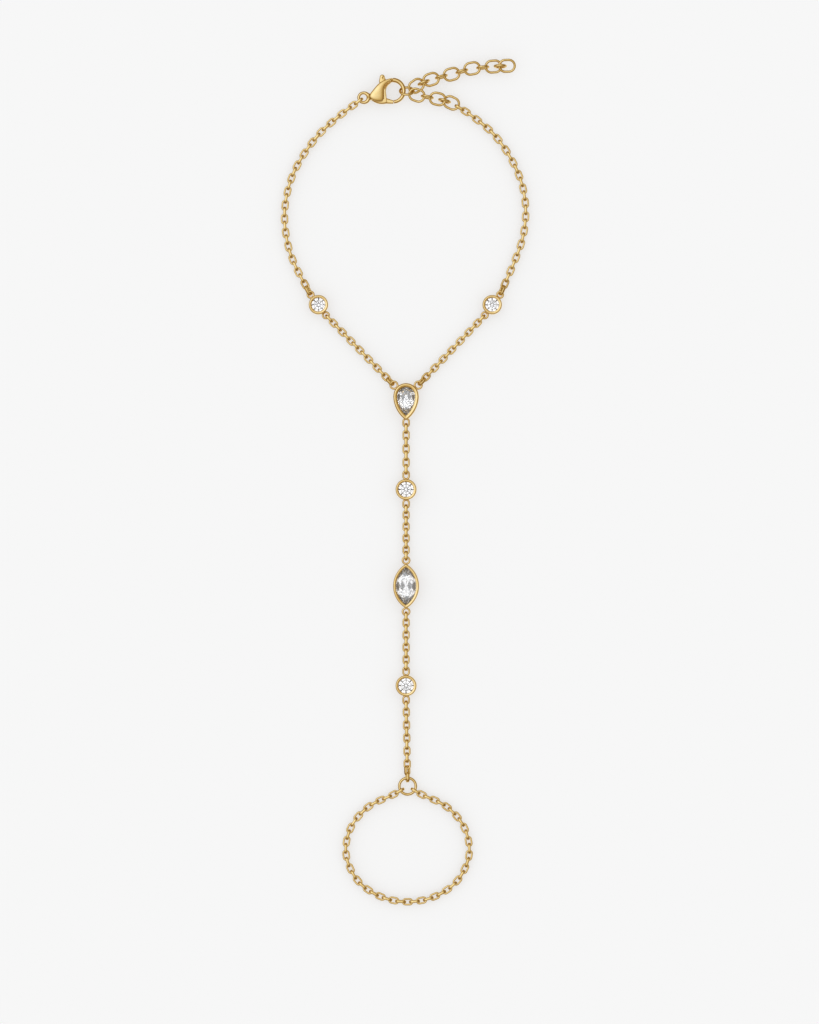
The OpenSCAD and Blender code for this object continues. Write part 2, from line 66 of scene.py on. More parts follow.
# Settings: places, stone sizes, rims and heights as in the part, but for a longer pear
BEZEL_LEFT, BEZEL_RIGHT = (-17.5, 18.2), (17.2, 18.2)
UPPER_Y, MARQUISE_Y, LOWER_Y = -18.7, -38.0, -57.9
WRIST_STONE_D, HAND_STONE_D = 3.0, 3.3
ROUND_RIM, ROUND_H = 0.58, 2.2
PEAR_W, PEAR_L, PEAR_RIM = 3.8, 6.0, 0.77
MARQUISE_W, MARQUISE_L, MARQUISE_RIM = 4.2, 7.8, 0.6
SHAPED_H = 2.6
LIP_COVER, STONE_GAP, SEAT_W = 0.14, 0.05, 0.3
TIP_ROUNDING, TIP_SINK = 0.05, 0.03
BEVEL, LIP_CREST = math.radians(24), 0.5
LIP_ROUNDING, CREST_ROUNDING, LIP_UNDERCUT = 0.62, 0.14, 0.02
WALL_EDGE, INNER_EDGE, LIP_JOIN = 0.07, 0.05, 0.03
SETTING_STEP = 0.06

# Eyelets: outer length and width, and the direction of each from its setting's centre
EYE_WIRE, EYE_SINK, EYE_JOIN = 0.4, 0.2, 0.1
WRIST_EYE, PEAR_EYE, MARQUISE_EYE = (1.64, 1.64), (1.85, 1.85), (1.77, 1.77)
OVAL_EYE = (2.0, 1.55)
LEFT_EYES, RIGHT_EYES = (128, -54.6), (52, 234.6)
STRAND_EYES = (90, -90)
PEAR_SIDE_EYES, PEAR_EYE_AT = (41.5, 138.5), 4.56

# Room that each setting is looked for in, to the left, below, to the right and above
WRIST_REACH, HAND_REACH = (3.2, 3.6, 3.2, 3.6), (2.2, 4.0, 2.2, 4.0)
PEAR_REACH, MARQUISE_REACH = (4.1, 7.2, 4.1, 4.0), (2.8, 6.6, 2.8, 6.6)

# Stones
GIRDLE_T = 0.08
CROWN_ANGLE, PAVILION_ANGLE = math.radians(34), math.radians(40)
TABLE_SHARE = 0.56
KITE_INSET, KITE_RISE = 0.55, 0.68
POINT_REACH, KEEL_REACH = 0.22, 0.5
LOWEST_POINT = 0.1
SAME_FACET = math.radians(0.6)
PEAR_KEEL, MARQUISE_KEEL = (-2.3, 0.15), (-2.0, 2.0)

# Clasp, from the claw's centre. Names with EDGE, CORNER and JOIN say how far that is rounded.
CLASP_POS = (-2.56, 60.9, 1.3)
CLASP_LOW, CLASP_HIGH = (-7.3, -2.8, -1.4), (2.6, 2.75, 1.4)
CLASP_STEP = 0.05
BACK_START, BACK_CENTRE = (-3.52, 0.89), (0.06, -2.04)
LEFT_END = -4.9
HOLE_POS, HOLE_R, HOLE_EDGE = (0.22, 0.0), 1.68, 0.12
HOLE_SIDE, HOLE_SIDE_LEAN = -1.45, 0.08
DOME_UNDER, DOME_UNDER_R = (-2.75, 1.0), 3.2
DOME_RIGHT_R, DOME_END = 2.03, -0.08
DOME_LOW_CORNER, DOME_BACK_CORNER, DOME_END_CORNER, DOME_TIP_CORNER = 0.6, 0.3, 0.5, 0.1
DOME_H, DOME_FULLNESS, DOME_EDGE = 1.2, 0.13, 0.25
SKIN_STEP, SKIN_ROUNDS, SKIN_MARGIN, SKIN_REACH = 0.05, 2500, 0.3, (-2.6, 2.9)
SKIN_STEEPNESS, LEAST_RISE, MOST_RISE = 1.5, 0.03, 0.99
BASE_UNDER, BASE_UNDER_R, BASE_END = (-2.22, 0.69), 3.33, -0.6
BASE_INSET, BASE_CORNER, BASE_END_CORNER, BASE_EDGE = 0.05, 0.3, 0.1, 0.4
BASE_HALF_T, BASE_THINNING, THIN_FROM, THIN_OVER = 0.64, 0.34, 0.2, 1.3
BAND_R, BAND_HALF, BAND_FALL, BAND_EDGE = 1.85, 0.19, 0.2, 0.3
BAND_FALL_FROM, BAND_FALL_OVER = 0.7, 1.2
BAND_ARC = range(120, 181, 6)
BAND_FOOT = [(-1.64, -0.6), (-1.6, -1.1), (-1.54, -1.6)]
FINE_JOIN, SLOT_EDGE, CLAW_JOIN, TAIL_JOIN = 0.04, 0.05, 0.15, 0.4
TAIL, TAIL_R, TAIL_WIRE, TAIL_SWELL = (-5.93, -1.34), 0.96, 0.6, 0.12

# Claw, by the angle round its centre
CLAW_R, CLAW_STRETCH = 2.1, 0.07
CLAW_START, CLAW_END, CLAW_TURN = -86.5, 130.0, -120
CLAW_WIRE_R, CLAW_SWELL, SWELL_POWER = 0.35, 0.13, 0.9
SWELL_FROM, SWELL_OVER = -86, 200
CLAW_THIN_FROM, CLAW_THINNING = 95, 0.0045
SEAM_ANGLE, SEAM_DEPTH, SEAM_WIDTH = 93, 0.13, 2.2
CLAW_CUT_EDGE = 0.06

# Thumb lever, from its pivot. Its slot is the lever's own way, a little wider.
PIVOT = (-2.11, -1.75)
LEVER_LOW, LEVER_HIGH = (-2.9, -2.5, -0.5), (0.2, 3.6, 0.5)
HUB_R, PIN_BORE_R, HUB_EDGE = 0.5, 0.3, 0.08
ARM_ANGLE, ARM_L, ARM_HALF, ARM_HALF_T = 91.0, 4.0, 0.3, 0.3
BAR_CORNER, BAR_EDGE = 0.05, 0.06
KNOB_AT, KNOB_L, KNOB_R, KNOB_TAPER = 3.7, 0.84, 0.76, 0.26
KNOB_SIDE, KNOB_LEAN, KNOB_HALF_T, KNOB_JOIN = 0.08, 0.09, 0.35, 0.1
DENT_AT, DENT_DEPTH, DENT_SPREAD = (4.38, -0.2), 0.1, 0.04
GATE_ANGLE = math.degrees(math.atan2(-CLAW_R - PIVOT[1], -PIVOT[0]))
GATE_L = math.hypot(-PIVOT[0], -CLAW_R - PIVOT[1])
GATE_WIDE, GATE_TAPER, GATE_LEAST, GATE_MOST = 0.67, 0.31, 0.25, 0.56
GATE_SIDE, GATE_HALF_T, GATE_PAST, GATE_EDGE, GATE_JOIN = 0.12, 0.4, 0.1, 0.05, 0.12
SQUARENESS = 3
BORE_EDGE = 0.03
GATE_SWING, SLOT_TURNS = 25.0, 5
SLOT_FROM, SLOT_TO, SLOT_HALF, SLOT_HALF_T = -0.5, 6.2, 0.42, 0.39
THUMB_HOLLOW_R = 0.84
GATE_SLOT_FROM, GATE_SLOT_TO, GATE_SLOT_HALF, GATE_SLOT_HALF_T = 0.3, 2.4, 0.64, 0.46

# Light's colour by direction: 1 is towards the light, 0.5 square to it, 0 away from it
METAL_LIGHT_FROM, STONE_LIGHT_FROM = (-0.36, 0.2, 0.91), (0, 0, 1)
METAL_LIGHT = [
    (0.0, (1.0, 0.95, 0.85)), (0.25, (0.78, 0.68, 0.5)), (0.36, (0.4, 0.3, 0.16)),
    (0.47, (0.15, 0.09, 0.035)), (0.6, (0.24, 0.155, 0.065)), (0.75, (0.44, 0.33, 0.17)),
    (0.86, (0.66, 0.55, 0.35)), (0.92, (0.86, 0.79, 0.66)), (0.95, (1.02, 1.02, 1.0)),
    (0.98, (1.22, 1.28, 1.4)), (1.0, (1.4, 1.5, 1.75)),
]
STONE_LIGHT = [
    (0.0, (0.9, 0.9, 0.9)), (0.5, (0.84, 0.85, 0.89)), (0.75, (1.3, 1.31, 1.35)),
    (0.985, (1.5, 1.5, 1.5)), (0.9925, (0.06, 0.06, 0.07)), (1.0, (0.02, 0.02, 0.02)),
]

# Floor in metres, and camera: the photo's size and its spot over the part's origin
FLOOR_R, FLOOR_DROP = 4.0, 0.00002
FLOOR_TONE, FLOOR_GLOW = (0.37, 0.37, 0.37, 1), (0.56, 0.56, 0.56, 1)
PHOTO_W, PHOTO_H, PHOTO_ORIGIN, MM_PER_PIXEL = 819, 1024, (406.1, 396), 0.2
SENSOR_MM, LENS_MM = 36, 200


# ---------------------------------------------------------------------------------------------
# Smooth solids from distance fields, which take points in mm and give mm, negative inside
# ---------------------------------------------------------------------------------------------
def blend_max(a, b, k):
    """What two solids share, with the edge between them rounded over k."""
    h = np.maximum(k - np.abs(a - b), 0) / k
    return np.maximum(a, b) + h * h * k * 0.25


def blend_min(a, b, k):
    """Two solids as one, with the corner between them filled over k."""
    return -blend_max(-a, -b, k)


def rounded_box(u, v, centre, half, r):
    """Distance in a section to a box with rounded corners."""
    du = np.abs(u - centre[0]) - half[0] + r
    dv = np.abs(v - centre[1]) - half[1] + r
    return np.hypot(np.maximum(du, 0), np.maximum(dv, 0)) + np.minimum(np.maximum(du, dv), 0) - r


def slopes(field, p):
    """How fast a field grows along x, y and z."""
    e = 1e-3
    return np.stack(
        [(field(p + d) - field(p - d)) / (2 * e) for d in np.eye(3) * e], axis=-1
    )


def sampled(field, axes):
    """The field's values on a grid, a slice at a time."""
    values = np.empty([len(a) for a in axes])
    yz = np.stack(np.meshgrid(axes[1], axes[2], indexing="ij"), axis=-1)
    for i, x in enumerate(axes[0]):
        values[i] = field(np.concatenate([np.full(yz.shape[:2] + (1,), x), yz], axis=-1))
    return values


def onto_surface(field, points, longest, moves=4, least_slope=0.05):
    """Points near a field's zero surface, moved onto it in steps that are never too long."""
    for _ in range(moves):
        g = slopes(field, points)
        move = (field(points) / np.maximum((g * g).sum(-1), least_slope))[:, None] * g
        points = points - np.clip(move, -longest, longest)
    return points


def skin(field, low, high, step):
    """A closed mesh on the zero surface of a field: one point in each cell that the surface
    crosses, moved onto the surface, and a quad round each crossed grid edge."""
    axes = [np.arange(lo - 2 * step, hi + 3 * step, step) for lo, hi in zip(low, high)]
    values = sampled(field, axes)
    inside = values < 0
    total = np.zeros([n - 1 for n in values.shape] + [3])
    count = np.zeros([n - 1 for n in values.shape])
    crossings = []
    for a in range(3):
        first = [slice(None)] * 3
        second = [slice(None)] * 3
        first[a], second[a] = slice(None, -1), slice(1, None)
        cells = np.argwhere(inside[tuple(first)] != inside[tuple(second)])
        ends = cells.copy()
        ends[:, a] += 1
        v0, v1 = values[tuple(cells.T)], values[tuple(ends.T)]
        where = np.stack([axes[k][cells[:, k]] for k in range(3)], axis=-1)
        where[:, a] += step * v0 / (v0 - v1)
        b, c = (a + 1) % 3, (a + 2) % 3
        corners = []
        for sb, sc in ((0, 0), (-1, 0), (-1, -1), (0, -1)):
            cell = cells.copy()
            cell[:, b] += sb
            cell[:, c] += sc
            np.add.at(total, tuple(cell.T), where)
            np.add.at(count, tuple(cell.T), 1)
            corners.append(cell)
        crossings.append((corners, v0 < 0))
    used = count > 0
    number = np.full(count.shape, -1)
    number[used] = np.arange(used.sum())
    points = onto_surface(field, total[used] / count[used][:, None], step / 2)
    faces = []
    for corners, outward in crossings:
        quad = np.stack([number[tuple(c.T)] for c in corners], axis=-1)
        faces.append(np.where(outward[:, None], quad, quad[:, ::-1]))
    return points, np.concatenate(faces)


def turned(p, angle):
    """Places along and across a direction in the plane."""
    c, s = math.cos(angle), math.sin(angle)
    return p[..., 0] * c + p[..., 1] * s, p[..., 1] * c - p[..., 0] * s


# ---------------------------------------------------------------------------------------------
# Pieces
# ---------------------------------------------------------------------------------------------
def stand(name, mesh, material, body, node):
    """A finished mesh as a piece that rides a body in place of the part's own node."""
    mesh.materials.append(material)
    piece = bpy.data.objects.new(name, mesh)
    bpy.context.scene.collection.objects.link(piece)
    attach(piece, body)
    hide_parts(node)


def metal_piece(name, points, faces, material, node, body="bracelet"):
    """A smooth piece of metal from points in mm."""
    mesh = bpy.data.meshes.new(name)
    mesh.from_pydata((np.asarray(points) * MM).tolist(), [], np.asarray(faces).tolist())
    mesh.update()
    mesh.shade_smooth()
    stand(name, mesh, material, body, node)


def loose_parts(mesh):
    """The points, in mm, of each part of a mesh that hangs together."""
    bm = bmesh.new()
    bm.from_mesh(mesh)
    bmesh.ops.remove_doubles(bm, verts=bm.verts, dist=SAME_POINT * MM)
    seen, parts = set(), []
    for start in bm.verts:
        if start in seen:
            continue
        seen.add(start)
        group, front = [], [start]
        while front:
            v = front.pop()
            group.append(v.co[:])
            for e in v.link_edges:
                o = e.other_vert(v)
                if o not in seen:
                    seen.add(o)
                    front.append(o)
        parts.append(np.array(group) / MM)
    bm.free()
    return parts


def loose_links(node):
    """The centre, the three axes (long, wide, thin) and the three sizes of each link in a node."""
    links = []
    for pts in loose_parts(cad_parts[node].data):
        mean = pts.mean(0)
        axes = np.linalg.svd(pts - mean, full_matrices=False)[2]
        if np.linalg.det(axes) < 0:
            axes[2] *= -1
        local = (pts - mean) @ axes.T
        low, high = local.min(0), local.max(0)
        links.append((mean + (low + high) / 2 @ axes, axes, high - low))
    return links


def oval_outline(length, width, n_arc, n_side):
    """Points, and outward directions, round an oval's centre line."""
    r, a = width / 2, (length - width) / 2
    pts, out = [], []
    for side in (1, -1):
        for t in np.linspace(-math.pi / 2, math.pi / 2, n_arc):
            d = np.array([math.cos(t), math.sin(t)]) * side
            pts.append(np.array([side * a, 0]) + r * d)
            out.append(d)
        if a > 0:
            for k in range(1, n_side):
                x = side * a * (1 - 2 * k / n_side)
                pts.append(np.array([x, side * r]))
                out.append(np.array([0, side]))
    return np.array(pts), np.array(out)


def swept_ring(length, width, wire, breadth, rounding=WIRE_ROUNDING, n_arc=16, n_side=5,
               n_round=16):
    """A ring of wire with its long axis along X. The wire's section has its thickness in the
    ring's plane and its breadth across it; it is round, or squarer where the rounding is over 2."""
    centre, out = oval_outline(length - wire, width - wire, n_arc, n_side)
    if length - width < LEAST_SIDE:
        # A round ring has no straight sides: the two arcs' shared points are kept once.
        keep = np.ones(len(centre), bool)
        keep[[n_arc, 0]] = False
        centre, out = centre[keep], out[keep]
    t = np.arange(n_round) * 2 * math.pi / n_round + math.pi / n_round
    u = wire / 2 * np.sign(np.cos(t)) * np.abs(np.cos(t)) ** (2 / rounding)
    v = breadth / 2 * np.sign(np.sin(t)) * np.abs(np.sin(t)) ** (2 / rounding)
    n = len(centre)
    pts = np.zeros((n, n_round, 3))
    pts[..., :2] = centre[:, None] + out[:, None] * u[None, :, None]
    pts[..., 2] = v
    i, j = np.meshgrid(np.arange(n), np.arange(n_round), indexing="ij")
    i2, j2 = (i + 1) % n, (j + 1) % n_round
    quads = np.stack([i * n_round + j, i2 * n_round + j, i2 * n_round + j2, i * n_round + j2], -1)
    return pts.reshape(-1, 3), quads.reshape(-1, 4)


def many(parts):
    """Several meshes as one."""
    points, faces, first = [], [], 0
    for p, f in parts:
        points.append(p)
        faces.append(np.asarray(f) + first)
        first += len(p)
    return np.concatenate(points), np.concatenate(faces)


def turned_back(links):
    """Links flat and on edge in turn. Each keeps its place and its direction. The slow twist that
    the part's strand has along its links is given to its last two links alone."""
    out = []
    for i, (centre, axes, size) in enumerate(links):
        along = axes[0]
        level = np.cross([0, 0, 1], along)
        level = level / np.linalg.norm(level)
        up = np.cross(along, level)
        on_edge = abs(links[0][1][1][2]) > EDGE_RISE
        plain = up if (i % 2 == 0) == on_edge else level
        wide = axes[1] if axes[1] @ plain >= 0 else -axes[1]
        twist = math.atan2(np.cross(plain, wide) @ along, plain @ wide)
        out.append((centre, along, plain, twist, size))
    share = [0.0] * (len(out) - len(END_TWIST)) + END_TWIST
    last = out[-1][3]
    links = []
    for (centre, along, plain, _, size), part in zip(out, share):
        side = np.cross(along, plain)
        wide = plain * math.cos(last * part) + side * math.sin(last * part)
        links.append((centre, np.array([along, wide, np.cross(along, wide)]), size))
    return links


def fine_chain(node, material, rng):
    """Links of flattened wire, each where the part has it, no two quite alike."""
    parts = []
    breadth = HAND_BREADTH if node.startswith("hand") else LOOP_BREADTH
    for centre, axes, size in turned_back(loose_links(node)):
        roll = math.radians(rng.uniform(-LINK_ROLL, LINK_ROLL))
        turn = np.array([[1, 0, 0], [0, math.cos(roll), math.sin(roll)],
                         [0, -math.sin(roll), math.cos(roll)]])
        width = size[1] * rng.uniform(LEAST_LINK_WIDTH, 1.0)
        pts, quads = swept_ring(size[0], width, LINK_WIRE, breadth, LINK_ROUNDING)
        parts.append((centre + pts @ turn @ axes, quads))
    metal_piece(f"{node}_links", *many(parts), material, node)


def extender(node, material):
    """Oval and small turned links of round wire, each where the part has it."""
    parts = []
    for centre, axes, size in loose_links(node):
        pts, quads = swept_ring(size[0], size[1], EXTENDER_WIRE, EXTENDER_WIRE, n_arc=26, n_round=20)
        parts.append((centre + pts @ axes, quads))
    metal_piece(f"{node}_links", *many(parts), material, node)


def junction_ring(material):
    pts, quads = swept_ring(RING_D, RING_D, RING_WIRE, RING_WIRE, n_arc=49, n_side=0, n_round=24)
    metal_piece("finger_ring", pts + (RING_X, RING_Y, CHAIN_Z), quads, material, "junction_ring")


# ---------------------------------------------------------------------------------------------
# Settings
# ---------------------------------------------------------------------------------------------
def arc_radius(half_w, tip):
    """Radius of the two arcs that meet at a tip so far from the widest place."""
    return (half_w ** 2 + tip ** 2) / (2 * half_w)


def tip_reach(half_w, radius):
    """How far from the widest place the two arcs meet."""
    return math.sqrt(radius ** 2 - (radius - half_w) ** 2)


def from_round(d):
    """Distance outside a circle."""
    return lambda x, y: np.hypot(x, y) - d / 2


def from_pointed(width, length, round_top):
    """Distance outside a marquise, or a pear with its round end up."""
    half = width / 2
    radius = arc_radius(half, length - half if round_top else length / 2)

    def distance(x, y):
        side = np.sqrt(x * x + TIP_ROUNDING ** 2) - TIP_SINK
        q = np.hypot(side + radius - half, y) - radius
        return np.where(y > 0, np.hypot(x, y) - half, q) if round_top else q

    return distance


def wall(q, z, rim, h):
    """Section of a setting: the wall, the lip over the stone's edge, round outside and bevelled
    inside, and the ledge below."""
    out, lip_r = rim - LIP_COVER, rim / 2
    girdle = h - rim - STONE_GAP
    ledge = girdle - GIRDLE_T - SEAT_W * math.tan(PAVILION_ANGLE) - STONE_GAP
    body = rounded_box(q, z, ((STONE_GAP + out) / 2, (h - lip_r) / 2),
                       ((out - STONE_GAP) / 2, (h - lip_r) / 2), WALL_EDGE)
    bevel = (z - h) * math.cos(BEVEL) - (q - out + LIP_CREST * rim) * math.sin(BEVEL)
    lip = blend_max(blend_max(q - out, z - h, LIP_ROUNDING * rim), bevel, CREST_ROUNDING)
    inside = blend_max(-LIP_COVER - q, h - rim - LIP_UNDERCUT - z, INNER_EDGE)
    lip = blend_max(lip, inside, INNER_EDGE)
    shelf = rounded_box(q, z, ((2 * STONE_GAP - SEAT_W) / 2, ledge / 2),
                        ((SEAT_W + 2 * STONE_GAP) / 2, ledge / 2), WALL_EDGE)
    return blend_min(blend_min(body, lip, LIP_JOIN), shelf, INNER_EDGE)


def eye(p, x, y, angle, size):
    """An eyelet of round wire: a ring, or an oval along its own direction."""
    u = (p[..., 0] - x) * math.cos(angle) + (p[..., 1] - y) * math.sin(angle)
    v = (p[..., 1] - y) * math.cos(angle) - (p[..., 0] - x) * math.sin(angle)
    straight, r = (size[0] - size[1]) / 2, (size[1] - EYE_WIRE) / 2
    ring = np.hypot(np.maximum(np.abs(u) - straight, 0), v) - r
    return np.hypot(ring, p[..., 2] - CHAIN_Z) - EYE_WIRE / 2


def setting(name, node, at, outline, rim, h, eyes, reach, material):
    """A setting with its eyelets. eyes: the rim's distance, the direction in degrees and the size
    of each. reach: room for it to the left, below, to the right and above its centre."""
    spots = []
    for rim_at, angle, size in eyes:
        a, far = math.radians(angle), rim_at + size[0] / 2 - EYE_SINK
        spots.append((far * math.cos(a), far * math.sin(a), a, size))

    def field(p):
        d = wall(outline(p[..., 0], p[..., 1]), p[..., 2], rim, h)
        for spot in spots:
            d = blend_min(d, eye(p, *spot), EYE_JOIN)
        return d

    points, faces = skin(field, [-reach[0], -reach[1], 0], [reach[2], reach[3], h], SETTING_STEP)
    metal_piece(name, points + (*at, 0), faces, material, node)


def settings(material):
    out_wrist = WRIST_STONE_D / 2 + ROUND_RIM - LIP_COVER
    out_hand = HAND_STONE_D / 2 + ROUND_RIM - LIP_COVER
    for name, node, at, eyes in (
        ("bezel_left", "wrist_bezel_left", BEZEL_LEFT, LEFT_EYES),
        ("bezel_right", "wrist_bezel_right", BEZEL_RIGHT, RIGHT_EYES),
    ):
        setting(name, node, at, from_round(WRIST_STONE_D), ROUND_RIM, ROUND_H,
                [(out_wrist, angle, WRIST_EYE) for angle in eyes], WRIST_REACH, material)
    for name, node, y in (("bezel_upper", "hand_bezel_upper", UPPER_Y),
                          ("bezel_lower", "hand_bezel_lower", LOWER_Y)):
        setting(name, node, (0, y), from_round(HAND_STONE_D), ROUND_RIM, ROUND_H,
                [(out_hand, angle, OVAL_EYE) for angle in STRAND_EYES], HAND_REACH, material)

    out_pear = PEAR_W / 2 + PEAR_RIM - LIP_COVER
    eyes = [(out_pear, angle, PEAR_EYE) for angle in PEAR_SIDE_EYES]
    setting("pear_bezel", "pear_setting", (0, 0), from_pointed(PEAR_W, PEAR_L, True), PEAR_RIM,
            SHAPED_H, eyes + [(PEAR_EYE_AT, -90, OVAL_EYE)], PEAR_REACH, material)

    rim_out = MARQUISE_RIM - LIP_COVER
    side = arc_radius(MARQUISE_W / 2, MARQUISE_L / 2)
    tip = tip_reach(MARQUISE_W / 2 + rim_out, side + rim_out)
    setting("marquise_bezel", "marquise_setting", (0, MARQUISE_Y),
            from_pointed(MARQUISE_W, MARQUISE_L, False), MARQUISE_RIM, SHAPED_H,
            [(tip, angle, MARQUISE_EYE) for angle in STRAND_EYES], MARQUISE_REACH, material)


# ---------------------------------------------------------------------------------------------
# Cut stones
# ---------------------------------------------------------------------------------------------
def round_outline(d):
    """The k-th of 16 corners of a circle, drawn in by inset."""
    return lambda k, inset: (d / 2 - inset) * np.array(
        [math.cos(k * math.pi / 8), math.sin(k * math.pi / 8)])


def pointed_outline(width, length, round_top):
    """The k-th of 16 corners of a marquise or pear, drawn in by inset; a tip is at k = 12."""
    half = width / 2
    radius = arc_radius(half, length - half if round_top else length / 2)

    def corner(k, inset):
        k = k % 16
        if round_top and k <= 8:
            return (half - inset) * np.array([math.cos(k * math.pi / 8), math.sin(k * math.pi / 8)])
        r = radius - inset
        tip = math.acos((radius - half) / r)
        up = 1 if k <= 8 else -1
        steps = k if k <= 4 else 8 - k if k <= 8 else k - 8 if k <= 12 else 16 - k
        side = 1 if k <= 4 or k > 12 else -1
        a = tip * steps / 4
        return np.array([side * (r * math.cos(a) - radius + half), up * r * math.sin(a)])

    return corner


def stone_points(corner, half, top, keel):
    """Corners of a brilliant cut over and under its girdle: eight at the table, eight at the
    crown's kites, two rings of 16 at the girdle, eight below and the point or the keel's ends."""
    inset = half * (1 - TABLE_SHARE)
    crown = inset * math.tan(CROWN_ANGLE)
    low = max(LOWEST_POINT, top - GIRDLE_T - half * math.tan(PAVILION_ANGLE))
    depth = top - GIRDLE_T - low
    reach = POINT_REACH if keel[0] == keel[1] else KEEL_REACH
    points = [np.array([0, y, low]) for y in keel]
    for k in range(16):
        edge = corner(k, 0)
        points.append(np.array([*edge, top]))
        points.append(np.array([*edge, top - GIRDLE_T]))
        if k % 2 == 0:
            points.append(np.array([*corner(k, inset), top + crown]))
        else:
            points.append(np.array([*corner(k, inset * KITE_INSET), top + crown * KITE_RISE]))
            near = np.array([0, np.clip(edge[1], *keel)])
            lower = near + (edge - near) * reach
            points.append(np.array([*lower, low + depth * reach * math.cos(math.pi / 8)]))
    return points


def stone(name, node, at, corner, half, h, rim, material, keel=(0.0, 0.0)):
    """A brilliant cut: a table, eight stars, eight kites and sixteen small facets above the
    girdle, eight mains and sixteen long facets below it."""
    bm = bmesh.new()
    for p in stone_points(corner, half, h - rim - STONE_GAP, keel):
        bm.verts.new(p)
    hull = bmesh.ops.convex_hull(bm, input=bm.verts)
    bmesh.ops.delete(bm, geom=[v for v in hull["geom_interior"] if isinstance(v, bmesh.types.BMVert)],
                     context="VERTS")
    bmesh.ops.dissolve_limit(bm, angle_limit=SAME_FACET, verts=bm.verts, edges=bm.edges)
    bmesh.ops.recalc_face_normals(bm, faces=bm.faces)
    bm.verts.index_update()
    points = np.array([v.co[:] for v in bm.verts]) + np.array([at[0], at[1], 0])
    faces = [[v.index for v in f.verts] for f in bm.faces]
    bm.free()
    mesh = bpy.data.meshes.new(name)
    mesh.from_pydata((points * MM).tolist(), [], faces)
    mesh.update()
    # Each facet gets a random painted reflection tone, in place of the glints that differ from facet
    # to facet.
    tone = mesh.attributes.new("facet_painted_glint", "FLOAT", "FACE")
    rng = np.random.default_rng(len(points) + int(abs(at[1]) * 10))
    tone.data.foreach_set("value", rng.uniform(0, 1, len(mesh.polygons)).astype(np.float32))
    stand(name, mesh, material, "bracelet", node)


def stones(round_cut, shaped_cut):
    for name, node, at, d in (
        ("brilliant_left", "wrist_stone_left", BEZEL_LEFT, WRIST_STONE_D),
        ("brilliant_right", "wrist_stone_right", BEZEL_RIGHT, WRIST_STONE_D),
        ("brilliant_upper", "hand_stone_upper", (0, UPPER_Y), HAND_STONE_D),
        ("brilliant_lower", "hand_stone_lower", (0, LOWER_Y), HAND_STONE_D),
    ):
        stone(name, node, at, round_outline(d), d / 2, ROUND_H, ROUND_RIM, round_cut)
    stone("pear_brilliant", "pear_stone", (0, 0), pointed_outline(PEAR_W, PEAR_L, True),
          PEAR_W / 2, SHAPED_H, PEAR_RIM, shaped_cut, PEAR_KEEL)
    stone("marquise_brilliant", "marquise_stone", (0, MARQUISE_Y),
          pointed_outline(MARQUISE_W, MARQUISE_L, False), MARQUISE_W / 2, SHAPED_H,
          MARQUISE_RIM, shaped_cut, MARQUISE_KEEL)


# ---------------------------------------------------------------------------------------------
# Clasp
# ---------------------------------------------------------------------------------------------
def back_edge(p):
    """Distance beyond the body's long upper edge: straight at first, then an even curve."""
    x, y = p[..., 0] - BACK_START[0], p[..., 1] - BACK_START[1]
    r = math.hypot(BACK_START[0] - BACK_CENTRE[0], BACK_START[1] - BACK_CENTRE[1])
    out = np.array(BACK_START) - BACK_CENTRE
    out = out / r
    curve = np.hypot(p[..., 0] - BACK_CENTRE[0], p[..., 1] - BACK_CENTRE[1]) - r
    return np.where(x * out[1] - y * out[0] < 0, x * out[0] + y * out[1], curve)


def hole_distance(p):
    return np.hypot(p[..., 0] - HOLE_POS[0], p[..., 1] - HOLE_POS[1])


def dome_outline(p):
    """Distance outside the dome's outline, in the clasp's plane."""
    x, y = p[..., 0], p[..., 1]
    under = np.hypot(x - DOME_UNDER[0], y - DOME_UNDER[1]) - DOME_UNDER_R
    right = np.where(y > 0, DOME_RIGHT_R - hole_distance(p), x + DOME_RIGHT_R - HOLE_POS[0])
    edge = blend_max(blend_max(right, under, DOME_LOW_CORNER), back_edge(p), DOME_BACK_CORNER)
    ends = blend_max(LEFT_END - x, x - DOME_END, DOME_TIP_CORNER)
    return blend_max(edge, ends, DOME_END_CORNER)


def swelling():
    """A skin blown up over the dome's outline, 1 at its highest: a table over x and y."""
    x = np.arange(LEFT_END - SKIN_MARGIN, DOME_END + SKIN_MARGIN, SKIN_STEP)
    y = np.arange(*SKIN_REACH, SKIN_STEP)
    spots = np.stack(np.meshgrid(x, y, indexing="ij"), axis=-1)
    inside = dome_outline(spots) < 0
    rise = np.zeros(inside.shape)
    for _ in range(SKIN_ROUNDS):
        near = sum(np.roll(rise, way, axis) for axis in (0, 1) for way in (1, -1))
        rise = np.where(inside, near / 4 + 1, 0)
    return x, y, rise / rise.max()


def from_table(table, p):
    """The table's value at each point, between its four nearest entries."""
    x, y, rise = table
    i = np.clip((p[..., 0] - x[0]) / (x[1] - x[0]), 0, len(x) - 1.001)
    j = np.clip((p[..., 1] - y[0]) / (y[1] - y[0]), 0, len(y) - 1.001)
    a, b = i.astype(int), j.astype(int)
    s, t = i - a, j - b
    return ((rise[a, b] * (1 - s) + rise[a + 1, b] * s) * (1 - t)
            + (rise[a, b + 1] * (1 - s) + rise[a + 1, b + 1] * s) * t)


def dome(p, table):
    """The swollen middle of the body: full at the lower left, lower towards the claw."""
    rise = np.maximum(from_table(table, p), LEAST_RISE)
    height = DOME_H * rise ** DOME_FULLNESS
    steepness = SKIN_STEEPNESS * np.sqrt(1 - np.minimum(rise, MOST_RISE))
    slope = DOME_FULLNESS * height / rise * steepness
    top = (np.abs(p[..., 2]) - height) / np.sqrt(1 + slope ** 2)
    return blend_max(top, dome_outline(p), DOME_EDGE)


